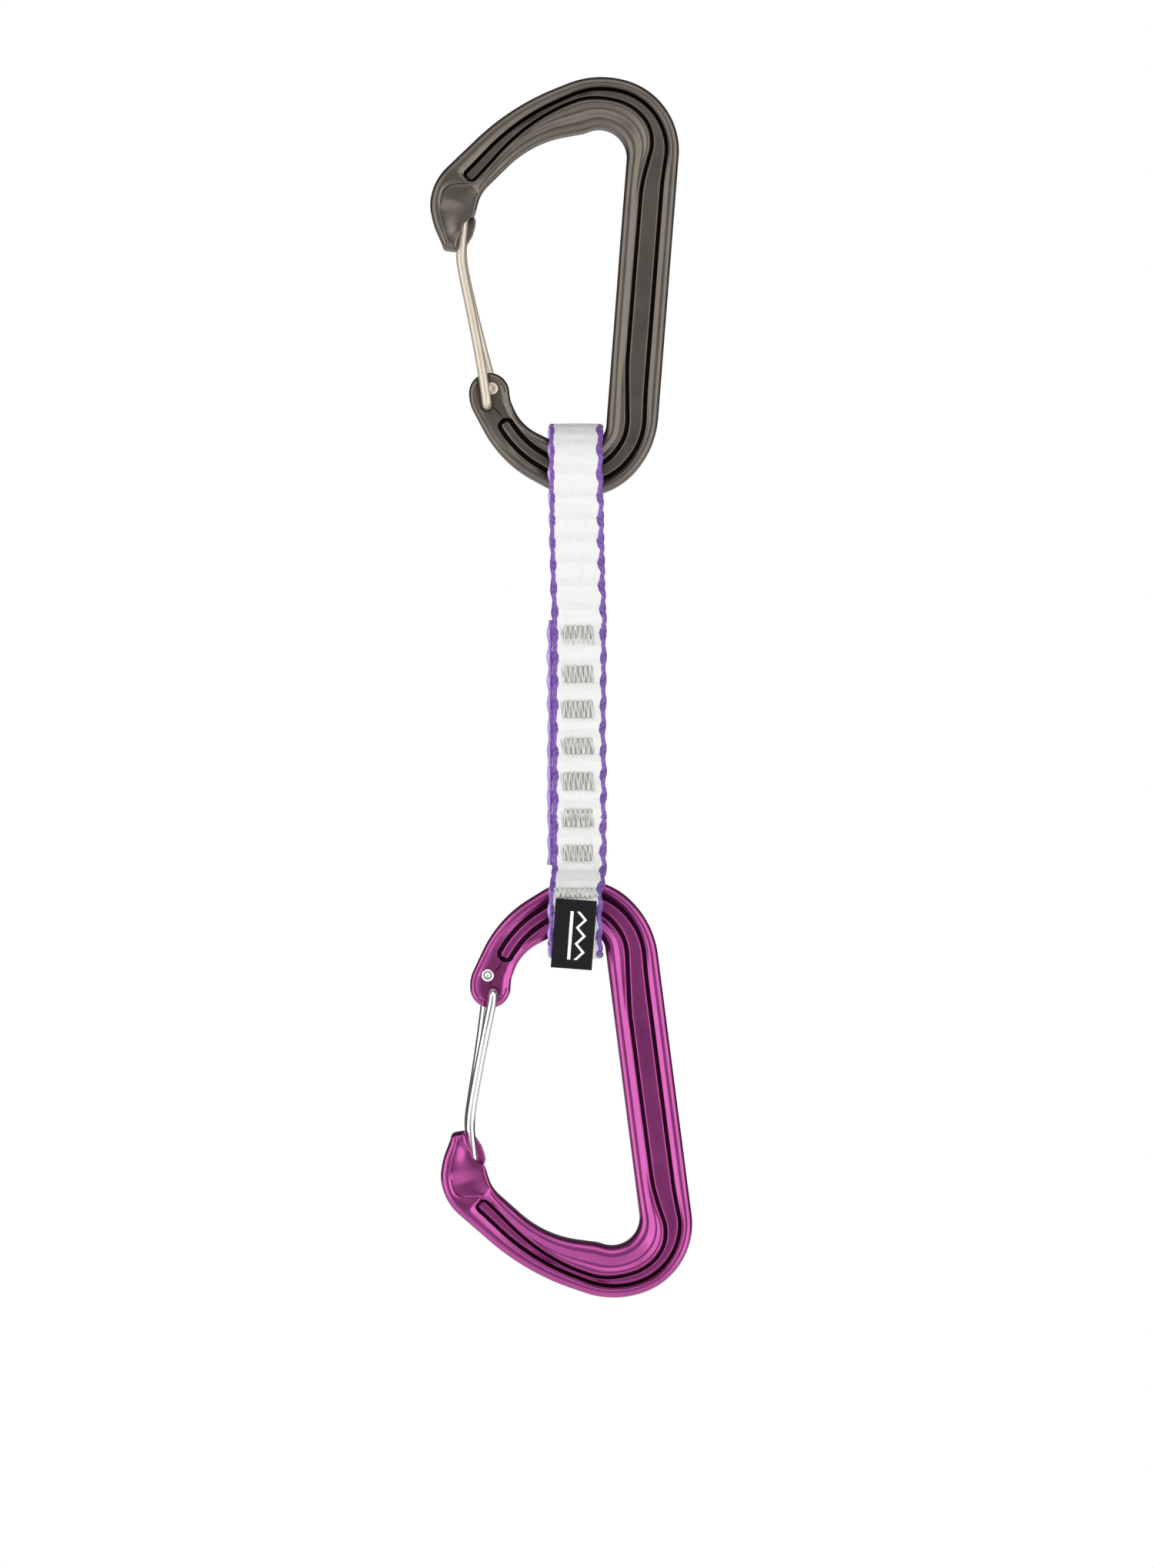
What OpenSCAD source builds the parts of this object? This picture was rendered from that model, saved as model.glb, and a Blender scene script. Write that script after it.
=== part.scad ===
// Climbing quickdraw: two wire-gate carabiners joined by a sewn tape sling.
// It hangs as in use. The origin is the hanger seat, the inner top bend of the upper carabiner.
// +Z is up, the gates open towards -X and the front of the draw faces -Y.

/* [Carabiner] */
// Thickness of the frame at the rope bend
bend_t = 9; // [8.4:0.1:9.6]
// Thickness of the frame along the spine
spine_t = 7.8; // [7:0.1:8.6]
// Thickness of the frame in the basket, where the tape sits
basket_t = 8; // [7.2:0.1:8.4]
// Thickness of the nose hood
hood_t = 9.8; // [9.6:0.1:10.6]
// Thickness of the pivot lug
lug_t = 6.4; // [6:0.1:6.8]
// Thickness of the web between the two flanges
web_t = 2.4; // [2:0.1:4]
// Width of the outer flange
outer_flange = 2.7; // [2:0.1:3.2]
// Width of the inner flange, which bears on the rope or the hanger
inner_flange = 3.6; // [3:0.1:4.4]

/* [Wire gate] */
// Diameter of the gate wire
wire_d = 2.1; // [1.8:0.1:2.2]
// How far the gate opens, in degrees
gate_open = 32; // [20:1:32]
// Space between the two legs at the nose, centre to centre
nose_gap = 4.4; // [3.6:0.1:4.5]

/* [Sling] */
// Width of the tape
tape_w = 12; // [11:0.1:12]
// Thickness of one ply of tape
tape_t = 1.8; // [1.2:0.1:1.8]
// Inner radius of the loop on the upper carabiner
upper_loop_r = 7.35; // [7.35:0.05:7.5]
// Inner radius of the loop on the lower carabiner
lower_loop_r = 7.45; // [7.45:0.05:7.6]
// Number of bar tacks that join the plies
tack_count = 7; // [7:1:7]
// Width of a bar tack
tack_w = 7.6; // [6:0.1:9]
// Height of a bar tack
tack_h = 4.9; // [3:0.1:6]
// Distance from one bar tack to the next
tack_pitch = 8.13; // [7.5:0.01:8.13]

/* [Label] */
// Width of the label
label_w = 9.4; // [8:0.1:11]
// Height of the label
label_h = 15; // [10:0.5:16]
// Lean of the label across the tape, in degrees
label_lean = 5; // [0:1:6]

/* [Hidden] */
$fn = 64;

// Corners of the frame's outer and inner edges in its own XZ plane, from the nose to the
// pivot lug, each with its rounding radius. The two lists go together, corner by corner.
outer_corners = [
    [-35.4, -27, 0], [-42.7, -15.6, 13], [-20.8, 4.9, 55], [-2.4, 12.2, 20],
    [17.8, 8, 16.2], [11.6, -71.1, 20], [-1.3, -86.3, 16], [-23.1, -74.4, 27],
    [-31.3, -61.3, 5.5], [-30.1, -58.5, 0]
];
inner_corners = [
    [-31.3, -26.2, 0], [-29.9, -17.2, 10], [-13.9, -2.1, 24], [-4.5, -0.9, 6],
    [5.8, 2.9, 6.2], [0.4, -67.6, 3.5], [-4.3, -73.2, 6.5], [-18.5, -66.2, 11],
    [-20.8, -60.8, 3], [-21.1, -58.5, 0]
];
// Steps round each corner, and along the straight stretch before each corner and the last end
corner_steps = [4, 3, 3, 6, 4, 4, 3, 2];
straight_steps = [2, 2, 2, 1, 5, 1, 2, 2, 1];

// Where the hood ends, the channel begins and ends, and the lug begins, measured in steps
// along the outer edge from the nose, as [distance, value]
path_end = 212;
thickness_at = [
    [0, hood_t], [16, hood_t], [30, bend_t], [70, bend_t], [90, spine_t], [140, spine_t],
    [155, basket_t], [188, basket_t], [201, lug_t], [path_end, lug_t]
];
channel_at = [
    [0, 0], [20, 0], [23.5, 1], [196, 1], [200, 0], [path_end, 0]
];
inner_flange_at = [
    [0, inner_flange], [34, inner_flange + 0.6], [50, inner_flange + 2.8],
    [74, inner_flange + 2.4], [92, inner_flange], [path_end, inner_flange]
];

// Rounding of the outer rim and of the inner flange
rim_r = 1.5;
seat_r = 2.4;

// Pivot lug and the two holes for the ends of the wire
lug_centre = [-25.6, -59];
lug_r = 4.5;
long_pivot = [-26.05, -61.8];
short_pivot = [-25, -58];
pivot_clearance = 0.06;
slot_clearance = 0.3;
wire_side_gap = 0.3;
leg_y = lug_t / 2 + wire_side_gap + wire_d / 2;
pin_end_y = lug_t / 2 - 0.5;
bend_y = nose_gap / 2 + 0.2;
wire_bend = [-31.6, -31.2];
short_bend = [-30.7, -32.2];
long_shoulder = [-27.5, -52];
short_shoulder = [-26.4, -52];
wire_nose = [-31.1, -21];

// Sling: X of the tape's centre line, and heights of the loop centres, necks and stitches
tape_x = -6.3;
upper_axis_z = -75.2;
upper_slack = 0.2;
upper_merge_z = -96.4;
upper_neck_z = -103;
neck_clearance = 0.35;
lower_neck_z = -165;
lower_merge_z = -165.1;
lower_neck_gap = 0.4;
lower_axis_z = -174.4;
lower_slack = 1.8;
stack_y = 1.5 * tape_t;
tail_top_z = -108;
first_tack_z = -112.9;
tack_x = -5.8;
thread_t = 0.35;
label_t = 0.5;
label_top = [-6, -172.2];
label_tack_z = -170.4;
label_tack_h = 2.2;

// Placing of the lower carabiner, which is the same forging turned over about X
lower_shift = [3.2, 0, -249.3];
lower_tilt = 2.9;

frame_grey = "#5b544d";
frame_purple = "#8c2f86";
wire_champagne = "#c9bfae";
wire_bright = "#c8ccd0";
tape_white = "#f2f1ef";
thread_grey = "#a9a9a6";
label_black = "#16161a";

// ---- Outline helpers ----

function unit(v) = v / norm(v);
function mix(a, b, t) = a + (b - a) * t;
function flat(c) = [c[0], c[1]];
function turn(a) = a > 180 ? a - 360 : a < -180 ? a + 360 : a;

// Points round the rounded corner b between its neighbours a and c
function corner_arc(a, b, c, r, steps) =
    let (
        u = unit(a - b),
        v = unit(c - b),
        half = acos(u * v) / 2,
        centre = b + unit(u + v) * r / sin(half),
        first = b + u * r / tan(half) - centre,
        last = b + v * r / tan(half) - centre,
        start = atan2(first.y, first.x),
        sweep = turn(atan2(last.y, last.x) - start)
    )
    [for (k = [0 : steps]) centre + r * [cos(start + sweep * k / steps), sin(start + sweep * k / steps)]];

// One list of points per corner, with the plain end points first and last
function arcs_of(corners) = [
    for (i = [0 : len(corners) - 1])
        i == 0 || i == len(corners) - 1
            ? [flat(corners[i])]
            : corner_arc(flat(corners[i - 1]), flat(corners[i]), flat(corners[i + 1]),
                corners[i][2], corner_steps[i - 1])
];

// The whole edge, with its straight stretches divided as well
function edge_points(corners) =
    let (arcs = arcs_of(corners))
    [
        for (i = [0 : len(arcs) - 1]) each concat(
            i == 0 ? [] : [
                for (k = [1 : straight_steps[i - 1]])
                    mix(arcs[i - 1][len(arcs[i - 1]) - 1], arcs[i][0], k / (straight_steps[i - 1] + 1))
            ],
            arcs[i]
        )
    ];

function distances(points, i = 1, made = [0]) =
    i == len(points)
        ? made
        : distances(points, i + 1, concat(made, made[i - 1] + norm(points[i] - points[i - 1])));

// ---- Carabiner frame ----

// Half of the I-beam section, as [distance in from the outer edge, height above mid plane]
function half_section(w, h, web, inner) =
    let (
        near = min(outer_flange, 0.4 * w),
        far = max(w - inner, 0.6 * w),
        wall = min(0.5, (far - near) / 3),
        ro = min(rim_r, near - 0.1),
        ri = min(seat_r, w - far - 0.1)
    )
    [
        [0, h - ro], [0.29 * ro, h - 0.29 * ro], [ro, h],
        [near, h], [near + wall, web], [far - wall, web], [far, h],
        [w - ri, h], [w - 0.5 * ri, h - 0.13 * ri], [w - 0.13 * ri, h - 0.5 * ri], [w, h - ri]
    ];

function mirrored(half) = [for (i = [len(half) - 1 : -1 : 0]) [half[i][0], -half[i][1]]];

module frame_sweep() {
    outer = edge_points(outer_corners);
    inner = edge_points(inner_corners);
    along = distances(outer);
    rings = [
        for (i = [0 : len(outer) - 1])
            let (
                w = norm(inner[i] - outer[i]),
                in = unit(inner[i] - outer[i]),
                h = lookup(along[i], thickness_at) / 2,
                web = mix(h, web_t / 2, lookup(along[i], channel_at)),
                half = half_section(w, h, web, lookup(along[i], inner_flange_at))
            )
            [
                for (p = concat(half, mirrored(half)))
                    [outer[i].x + in.x * p[0], p[1], outer[i].y + in.y * p[0]]
            ]
    ];
    n = len(rings[0]);
    last = len(rings) - 1;
    polyhedron(
        points = [for (ring = rings) each ring],
        faces = concat(
            [[for (k = [n - 1 : -1 : 0]) k]],
            [
                for (i = [0 : last - 1], k = [0 : n - 1]) each [
                    [i * n + k, (i + 1) * n + (k + 1) % n, (i + 1) * n + k],
                    [i * n + k, i * n + (k + 1) % n, (i + 1) * n + (k + 1) % n]
                ]
            ],
            [[for (k = [0 : n - 1]) last * n + k]]
        )
    );
}

// A round bar along Y at a point of the XZ plane
module cross_pin(p, r, y0, y1) {
    translate([p.x, y0, p.y]) rotate([-90, 0, 0]) cylinder(r = r, h = y1 - y0);
}

// The nose's slot is open on the inside, so that the gate swings in and its end is shrouded
module hood_slot() {
    half_gap = nose_gap / 2 + wire_d / 2 + 0.4;
    translate([wire_nose.x - wire_d / 2 - 0.6, -half_gap, -45])
        cube([20, 2 * half_gap, 45 + wire_nose.y + wire_d / 2 + 1]);
}

module carabiner_frame() {
    through = bend_t + 4;
    difference() {
        union() {
            frame_sweep();
            cross_pin(lug_centre, lug_r, -lug_t / 2, lug_t / 2);
        }
        hood_slot();
        cross_pin(long_pivot, wire_d / 2 + pivot_clearance, -through, through);
        // The short leg's hole is a short arc about the long leg's, because the rigid wire
        // turns about one axis here
        for (a = [0 : gate_open / 7 : gate_open])
            translate([long_pivot.x, 0, long_pivot.y]) rotate([0, a, 0])
                translate([-long_pivot.x, 0, -long_pivot.y])
                    cross_pin(short_pivot, wire_d / 2 + slot_clearance, -through, through);
    }
}

// ---- Wire gate ----

// Straight wire between two points, with a ball at its far end to round the bend
module wire(a, b) {
    d = b - a;
    translate(a) rotate([0, acos(d.z / norm(d)), atan2(d.y, d.x)])
        cylinder(d = wire_d, h = norm(d), $fn = 24);
    translate(b) elbow();
}

// A ball a little wider than the wire, so that the two surfaces cross cleanly
module elbow() {
    sphere(d = wire_d + 0.06, $fn = 24);
}

module wire_run(points) {
    for (i = [0 : len(points) - 2]) wire(points[i], points[i + 1]);
}

module wire_gate() {
    y = nose_gap / 2;
    union() {
        cross_pin(long_pivot, wire_d / 2, -leg_y, pin_end_y);
        cross_pin(short_pivot, wire_d / 2, -pin_end_y, leg_y);
        translate([long_pivot.x, -leg_y, long_pivot.y]) elbow();
        wire_run([
            [long_pivot.x, -leg_y, long_pivot.y], [long_shoulder.x, -leg_y, long_shoulder.y],
            [wire_bend.x, -bend_y, wire_bend.y],
            [wire_nose.x, -y, wire_nose.y], [wire_nose.x, y, wire_nose.y],
            [short_bend.x, bend_y, short_bend.y], [short_shoulder.x, leg_y, short_shoulder.y],
            [short_pivot.x, leg_y, short_pivot.y]
        ]);
    }
}

module to_lower() {
    translate(lower_shift) rotate([0, -lower_tilt, 0]) rotate([180, 0, 0]) children();
}

// ---- Sling ----

// Right side of a drop, from the top down: a straight neck of the given half width from neck_z
// to merge_z, then the tangent to a circle of radius r, whose round end is moved by the slack
function drop_side(r, half_neck, neck_z, merge_z, slack) =
    let (
        start = atan2(half_neck, merge_z) + acos(r / norm([half_neck, merge_z])),
        steps = 14
    )
    concat(
        [[half_neck, neck_z], [half_neck, merge_z]],
        [for (k = [0 : steps]) let (a = mix(start, 90, k / steps)) r * [sin(a), cos(a)]],
        [for (k = [0 : 8]) let (a = mix(90, 180, k / 8)) r * [sin(a), cos(a)] - [0, slack]]
    );

module drop(side) {
    polygon(concat(side, [for (k = [len(side) - 2 : -1 : 0]) [-side[k].x, side[k].y]]));
}

// The ring of tape round a bar. Its profile is drawn in YZ with the neck upwards.
module tape_ring(r, neck_z, merge_z, slack) {
    rotate([90, 0, 90]) linear_extrude(tape_w, center = true) difference() {
        drop(drop_side(r + tape_t, stack_y, neck_z, merge_z, slack));
        drop(drop_side(r, stack_y - tape_t, neck_z + 1, merge_z, slack));
    }
}

module tape_upper_loop() {
    color(tape_white) difference() {
        translate([tape_x, 0, upper_axis_z]) mirror([0, 0, 1])
            tape_ring(upper_loop_r, upper_axis_z - upper_neck_z, upper_axis_z - upper_merge_z, upper_slack);
        // The lower ends are cut round the neck's pivot, so the plies can swing in between
        cross_pin([tape_x, upper_neck_z], tape_w / 2 + neck_clearance, -20, 20);
    }
}

module tape_lower_loop() {
    color(tape_white) translate([tape_x, 0, lower_axis_z])
        tape_ring(lower_loop_r, lower_neck_z - lower_axis_z, lower_merge_z - lower_axis_z, lower_slack);
}

// One ply, from a round top about the neck's pivot down to the lower neck
module ply(y0) {
    bottom = lower_neck_z + lower_neck_gap;
    translate([tape_x - tape_w / 2, y0, bottom]) cube([tape_w, tape_t, upper_neck_z - bottom]);
    cross_pin([tape_x, upper_neck_z], tape_w / 2, y0, y0 + tape_t);
}

module tape_front_ply() {
    color(tape_white) ply(-stack_y);
}

module tape_back_ply() {
    color(tape_white) ply(stack_y - tape_t);
}

module tape_tail() {
    bottom = lower_neck_z + lower_neck_gap;
    color(tape_white) translate([tape_x - tape_w / 2, -tape_t / 2, bottom])
        cube([tape_w, tape_t, tail_top_z - bottom]);
}

module bar_tack(number) {
    z = first_tack_z - (number - 1) * tack_pitch;
    color(thread_grey) for (y = [-stack_y - thread_t, stack_y])
        translate([tack_x - tack_w / 2, y, z - tack_h / 2]) cube([tack_w, thread_t, tack_h]);
}

module label() {
    y = -lower_loop_r - tape_t - label_t - 0.15;
    color(label_black) translate([label_top.x, y, label_top.y]) rotate([0, label_lean, 0])
        translate([-label_w / 2, 0, -label_h]) cube([label_w, label_t, label_h]);
}

// The label's stitching lies on the curve of the loop, just above the label
module label_tack() {
    r = lower_loop_r + tape_t;
    up = label_tack_z - lower_axis_z;
    color(thread_grey) translate([tape_x, 0, lower_axis_z]) rotate([90, 0, 90])
        linear_extrude(tape_w - 2, center = true) intersection() {
            difference() {
                circle(r = r + thread_t);
                circle(r = r);
            }
            translate([-r - 1, up - label_tack_h / 2]) square([r, label_tack_h]);
        }
}

color(frame_grey) carabiner_frame();  // upper_frame
color(wire_champagne) wire_gate();  // upper_gate
color(frame_purple) to_lower() carabiner_frame();  // lower_frame
color(wire_bright) to_lower() wire_gate();  // lower_gate
tape_upper_loop();
tape_front_ply();
tape_back_ply();
tape_tail();
tape_lower_loop();
for (number = [1 : tack_count])
    bar_tack(number);
label();
label_tack();
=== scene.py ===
import math
import random

import bmesh
import bpy
import numpy as np
from mathutils import Matrix, Vector


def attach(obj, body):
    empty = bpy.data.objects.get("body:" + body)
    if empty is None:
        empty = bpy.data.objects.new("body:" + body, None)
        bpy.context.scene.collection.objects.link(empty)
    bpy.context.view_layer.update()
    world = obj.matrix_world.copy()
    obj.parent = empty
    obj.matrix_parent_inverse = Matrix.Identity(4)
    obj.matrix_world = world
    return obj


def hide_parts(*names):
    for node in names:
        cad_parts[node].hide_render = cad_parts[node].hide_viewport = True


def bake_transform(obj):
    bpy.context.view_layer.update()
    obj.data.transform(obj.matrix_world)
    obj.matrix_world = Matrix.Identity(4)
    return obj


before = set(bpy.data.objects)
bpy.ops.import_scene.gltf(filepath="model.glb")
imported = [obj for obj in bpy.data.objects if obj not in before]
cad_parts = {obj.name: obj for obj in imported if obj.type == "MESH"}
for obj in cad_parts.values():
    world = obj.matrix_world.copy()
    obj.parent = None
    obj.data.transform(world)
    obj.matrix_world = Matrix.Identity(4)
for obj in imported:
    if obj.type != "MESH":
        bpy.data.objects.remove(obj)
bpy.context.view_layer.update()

mm = 0.001


# ---- Upper carabiner's frame ----
# One forged bar of aluminium alloy, bent round and hot forged into an I-beam with a deep
# channel down both faces, a hooded nose and a flat lug for the gate. Tumbled smooth, then
# anodised a warm dark grey with a satin surface.

# Corners of the outer and inner edge with their rounding radii, in mm, paired corner by corner
outer_corners = [
    (-36.1, -25.8, 0), (-38, -21.6, 14), (-38.9, -17.4, 9), (-37.95, -11.6, 12),
    (-20.8, 4.9, 55), (-2.4, 12.2, 20), (17.8, 8, 16.2), (11.6, -71.1, 20),
    (-1.3, -86.3, 16), (-23.1, -74.4, 27), (-30.15, -61.2, 8), (-30.1, -59, 0),
]
inner_corners = [
    (-32.55, -26.3, 0), (-31.15, -21.3, 1.3), (-28.9, -19.3, 0.8), (-27.6, -14.2, 8),
    (-16.2, -3, 24), (-4.5, -0.9, 6), (5.8, 2.9, 6.2), (0.4, -67.6, 3.5),
    (-4.3, -73.2, 6.5), (-18.5, -66.2, 11), (-20.8, -60.8, 3), (-21.1, -59, 0),
]
corner_steps = [12, 12, 16, 26, 24, 44, 36, 34, 26, 12]
straight_steps = [10, 4, 6, 14, 16, 6, 60, 8, 16, 14, 10]
lug_centre, lug_radius, lug_steps = Vector((-25.6, -59)), 4.5, 22

# Along the outer edge from the nose, as (distance, value): half thickness, width of the outer
# flange and of the channel, how much of the inner flange is a rope's seat, and where the
# nose's crease lies
half_thickness = [(0, 4.5), (4, 4.9), (16, 4.9), (30, 4.5), (70, 4.5), (90, 3.9),
                  (140, 3.9), (155, 4), (188, 4), (201, 3.2)]
outer_flange = [(0, 3.2), (19, 3.3), (32, 2.9), (45, 2.5), (60, 2.2), (84, 2.3), (95, 2.8),
                (138, 2.8), (154, 2.35), (172, 2.5), (190, 2.9), (212, 3)]
channel_width = [(0, 3.3), (20, 3.3), (30, 3), (40, 2.5), (50, 2.2), (62, 2.9), (76, 3.3),
                 (88, 4.6), (97, 5.4), (132, 5.5), (142, 4.9), (155, 4.4), (175, 4.2),
                 (190, 3.9), (212, 3.9)]
rope_seat = [(0, 0), (30, 0), (46, 0.75), (58, 1), (76, 1), (92, 0.25), (101, 0), (130, 0),
             (144, 0.35), (160, 0.45), (178, 0.3), (196, 0.1), (212, 0)]
nose_crease = [(0, 1.6), (3.7, 2), (7, 2.3), (9.5, 2.2), (13, 2.2), (14.7, 2.8), (16.6, 4.2),
               (18, 5.5), (19, 6)]
channel_start, channel_stop = 19.2, 200.2
groove_width = [(0, 0.5), (60, 0.5), (90, 0.62), (140, 0.68), (205, 0.85)]
groove_half, bar_half = 1.4, 2.15
pocket_from, pocket_to, pocket_half = 1, 10.6, 3.1
lug_rim, lug_sunk = 1.15, 0.36


def smooth(t):
    t = min(1, max(0, t))
    return t * t * (3 - 2 * t)


def along(table, s):
    """The value at distance s on a smooth curve through a table of (distance, value)."""
    s = min(max(s, table[0][0]), table[-1][0])
    k = min(sum(s >= entry[0] for entry in table), len(table) - 1)
    slopes = [(b[1] - a[1]) / (b[0] - a[0]) for a, b in zip(table, table[1:])]

    def tangent(i):
        if i == 0 or i == len(slopes) or slopes[i - 1] * slopes[i] <= 0:
            return 0
        return 2 * slopes[i - 1] * slopes[i] / (slopes[i - 1] + slopes[i])

    (s0, v0), (s1, v1) = table[k - 1], table[k]
    t, reach = (s - s0) / (s1 - s0), s1 - s0
    return (v0 + (v1 - v0) * t * t * (3 - 2 * t)
            + reach * t * (1 - t) * (tangent(k - 1) * (1 - t) - tangent(k) * t))


def rounded_line(corners):
    """Points along a line of corners, each rounded by its own radius."""
    points, here = [], Vector(corners[0][:2])
    for i in range(1, len(corners) - 1):
        corner, radius = Vector(corners[i][:2]), corners[i][2]
        back = (Vector(corners[i - 1][:2]) - corner).normalized()
        on = (Vector(corners[i + 1][:2]) - corner).normalized()
        half = back.angle(on) / 2
        start, stop = corner + back * radius / math.tan(half), corner + on * radius / math.tan(half)
        centre = corner + (back + on).normalized() * radius / math.sin(half)
        steps = straight_steps[i - 1]
        points += [here.lerp(start, k / steps) for k in range(steps)]
        steps = corner_steps[i - 1]
        sweep = math.copysign(math.pi - 2 * half, (start - centre).cross(stop - centre)) / steps
        points += [centre + Matrix.Rotation(sweep * k, 2) @ (start - centre) for k in range(steps)]
        here = stop
    steps = straight_steps[-1]
    return points + [here.lerp(Vector(corners[-1][:2]), k / steps) for k in range(steps + 1)]


def rounded_end(reach, t):
    """Half width of a slot with a round end, t from that end."""
    return reach * math.sqrt(max(0, 1 - (1 - min(1, max(0, t) / reach)) ** 2))


def face_section(s, width):
    """(distance from the outer edge, half thickness) across one face, from the outer edge's
    middle to the inner edge's middle."""
    h = along(half_thickness, s)
    reach = along(channel_width, s) / 2
    t = min(s - channel_start, channel_stop - s)
    middle = along(outer_flange, s) + reach
    nose = smooth((channel_start + 0.5 - s) / 1)
    middle += (min(along(nose_crease, s), width * 0.62) - middle) * nose
    middle += (width / 2 - middle) * smooth((s - channel_stop - 1) / 4)
    lug = smooth((s - 189) / 8)
    groove = rounded_end(reach, t)
    gap = along(groove_width, s)
    bar = rounded_end(max(0.2, reach - gap), t - gap)
    cut, raised = smooth(t / 0.45), smooth((t - gap) / 0.3)
    seat = along(rope_seat, s)
    floor = groove_half + (h - 3.9) * 0.4
    top = floor + (bar_half - groove_half) * raised

    rim = min(1.35, width * 0.3)
    side = [(0, (h - rim) * k) for k in (0, 0.5)]
    side += [(rim * (1 - math.cos(a)), h - rim + rim * math.sin(a))
             for a in (0, 0.3, 0.62, 0.95, 1.27)]
    edge = middle - groove
    tip = smooth((12 - s) / 4)
    drop = 0.62 * (1 - nose * (0.45 + 0.35 * tip))

    def levelled(x, y):
        """The half thickness y, turned to the lug's flat sunk plate toward the end."""
        return y + (h - lug_sunk * smooth((min(x, width - x) - lug_rim) / 0.5) - y) * lug

    for k, fall in ((0, 0), (0.22, 0.02), (0.42, 0.15), (0.6, 0.38), (0.75, 0.62), (0.87, 0.8),
                    (0.95, 0.88), (1, 1)):
        x = rim + max(0, edge - rim) * k
        side.append((x, levelled(x, h - drop * fall)))
    level = levelled(edge, h - drop)

    def sunk(full, depth):
        """Half thickness at a share of the channel's depth, where the channel is cut."""
        return level + (floor + full - level) * cut * depth

    outer_wall = [(0.07, 0.3, 0.45), (0.16, 0.08, 0.9), (0.26, 0, 1), (0.42, 0, 1)]
    channel = [(edge + x, sunk(full, depth)) for x, full, depth in outer_wall]
    near = middle - bar
    for x, share in ((0, 0.05), (0.07, 0.55), (0.16, 0.85), (0.34, 0.98), (0.6, 1)):
        channel.append((near + x, level + (floor + (top - floor) * share - level) * cut))
    crown = level + (top + 0.1 * raised - level) * cut
    limit = middle - 0.012
    left = [(min(x, limit - 0.012 * (len(channel) - k)), y) for k, (x, y) in enumerate(channel)]
    right = [(2 * middle - x, y) for x, y in reversed(left)]

    hollow = smooth((27 - s) / 11) * smooth((s - 0.4) / 2.6)
    inner_top = h - 0.95 * hollow
    seat_rim = min(1.4 + 0.9 * seat - 0.75 * hollow, width * 0.3)
    start, stop = middle + groove, width - seat_rim
    plain = [(0, 0.8), (0.1, 0.62), (0.22, 0.54), (0.4, 0.42), (0.62, 0.2), (0.82, 0.04), (1, 0)]
    roped = [(0, 0.8), (0.05, 0.52), (0.14, 0.34), (0.3, 0.55), (0.47, 1), (0.72, 0.62), (1, 0)]
    flange = []
    for share in (0, 0.04, 0.09, 0.15, 0.22, 0.3, 0.39, 0.48, 0.58, 0.68, 0.78, 0.89, 1):
        fall = along(plain, share) * (1 - seat) + along(roped, share) * seat
        x = start + max(0, stop - start) * share
        ridge = smooth((x - start) / 0.3)
        ridge += (smooth(share * 1.1) - ridge) * tip
        bed = 0.35 * math.sin(math.pi * share) * (1 - tip)
        panel = drop + (0.95 * smooth((s - 0.4) / 2.6) - drop + bed) * ridge
        arm = fall + 0.95 * hollow * smooth(share / 0.5) * (1 - 0.2 * fall)
        flange.append((x, levelled(x, h - arm - (panel - arm) * nose)))
    turn = [(width - seat_rim * (1 - math.sin(a)), inner_top - seat_rim * (1 - math.cos(a)))
            for a in (0.3, 0.62, 0.95, 1.27, math.pi / 2)]
    wall = inner_top - seat_rim
    close = [(width, wall * k) for k in (0.86, 0.72, 0.58, 0.46, 0.34, 0.22, 0.1, 0)]

    points = side + left + [(middle, crown)] + right + flange + turn + close
    pocket = smooth((s - pocket_from) / 1) * smooth((pocket_to - s) / 0.7)
    if pocket > 0:
        deep = max(0, min(width - 2.7, 3.3))
        lip_y = points[-len(close) - len(turn) - 1][1]
        hollowed = []
        thick = lip_y - pocket_half
        for k, a in enumerate((0.3, 0.7, 1.1, 1.57, 2.1)):
            hollowed.append((width - 0.3 + 0.3 * math.sin(a),
                             lip_y - thick / 2 + thick / 2 * math.cos(a)))
        hollowed += [(width - 0.35, pocket_half), (width - deep * 0.4, pocket_half),
                     (width - deep * 0.75, pocket_half), (width - deep * 0.93, pocket_half - 0.12),
                     (width - deep, pocket_half - 0.5), (width - deep, pocket_half * 0.5),
                     (width - deep, pocket_half * 0.25), (width - deep, 0)]
        tail = points[-len(hollowed):]
        points[-len(hollowed):] = [
            (xa + (xb - xa) * pocket, ya + (yb - ya) * pocket)
            for (xa, ya), (xb, yb) in zip(tail, hollowed)]
    return points


def finished(bm, name):
    """The bmesh as a mesh of that name."""
    mesh = bpy.data.meshes.new(name)
    bm.to_mesh(mesh)
    bm.free()
    return mesh


def surface(name, rows, columns, place, uv):
    """A grid of rows by columns, moved point by point to place(row, column) in mm, closed
    into a tube with capped ends. The map's two numbers come from uv(row, column)."""
    weld = 2e-6
    bm = bmesh.new()
    layer = bm.loops.layers.uv.new("UVMap")
    bmesh.ops.create_grid(bm, x_segments=rows, y_segments=columns, size=1)
    where = {v: (round((v.co.x + 1) / 2 * rows), round((v.co.y + 1) / 2 * columns))
             for v in bm.verts}
    for face in bm.faces:
        for loop in face.loops:
            loop[layer].uv = uv(*where[loop.vert])
    for v, (row, column) in where.items():
        v.co = Vector(place(row, column)) * mm
    rims = [v for v, (_, column) in where.items() if column in (0, columns)]
    bmesh.ops.remove_doubles(bm, verts=rims, dist=weld)
    bmesh.ops.holes_fill(bm, edges=[e for e in bm.edges if e.is_boundary], sides=0)
    bmesh.ops.recalc_face_normals(bm, faces=bm.faces)
    if bm.calc_volume(signed=True) < 0:
        bmesh.ops.reverse_faces(bm, faces=bm.faces)
    return finished(bm, name)


def linked(name, data):
    """A new object in the scene."""
    thing = bpy.data.objects.new(name, data)
    bpy.context.collection.objects.link(thing)
    return thing


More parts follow.
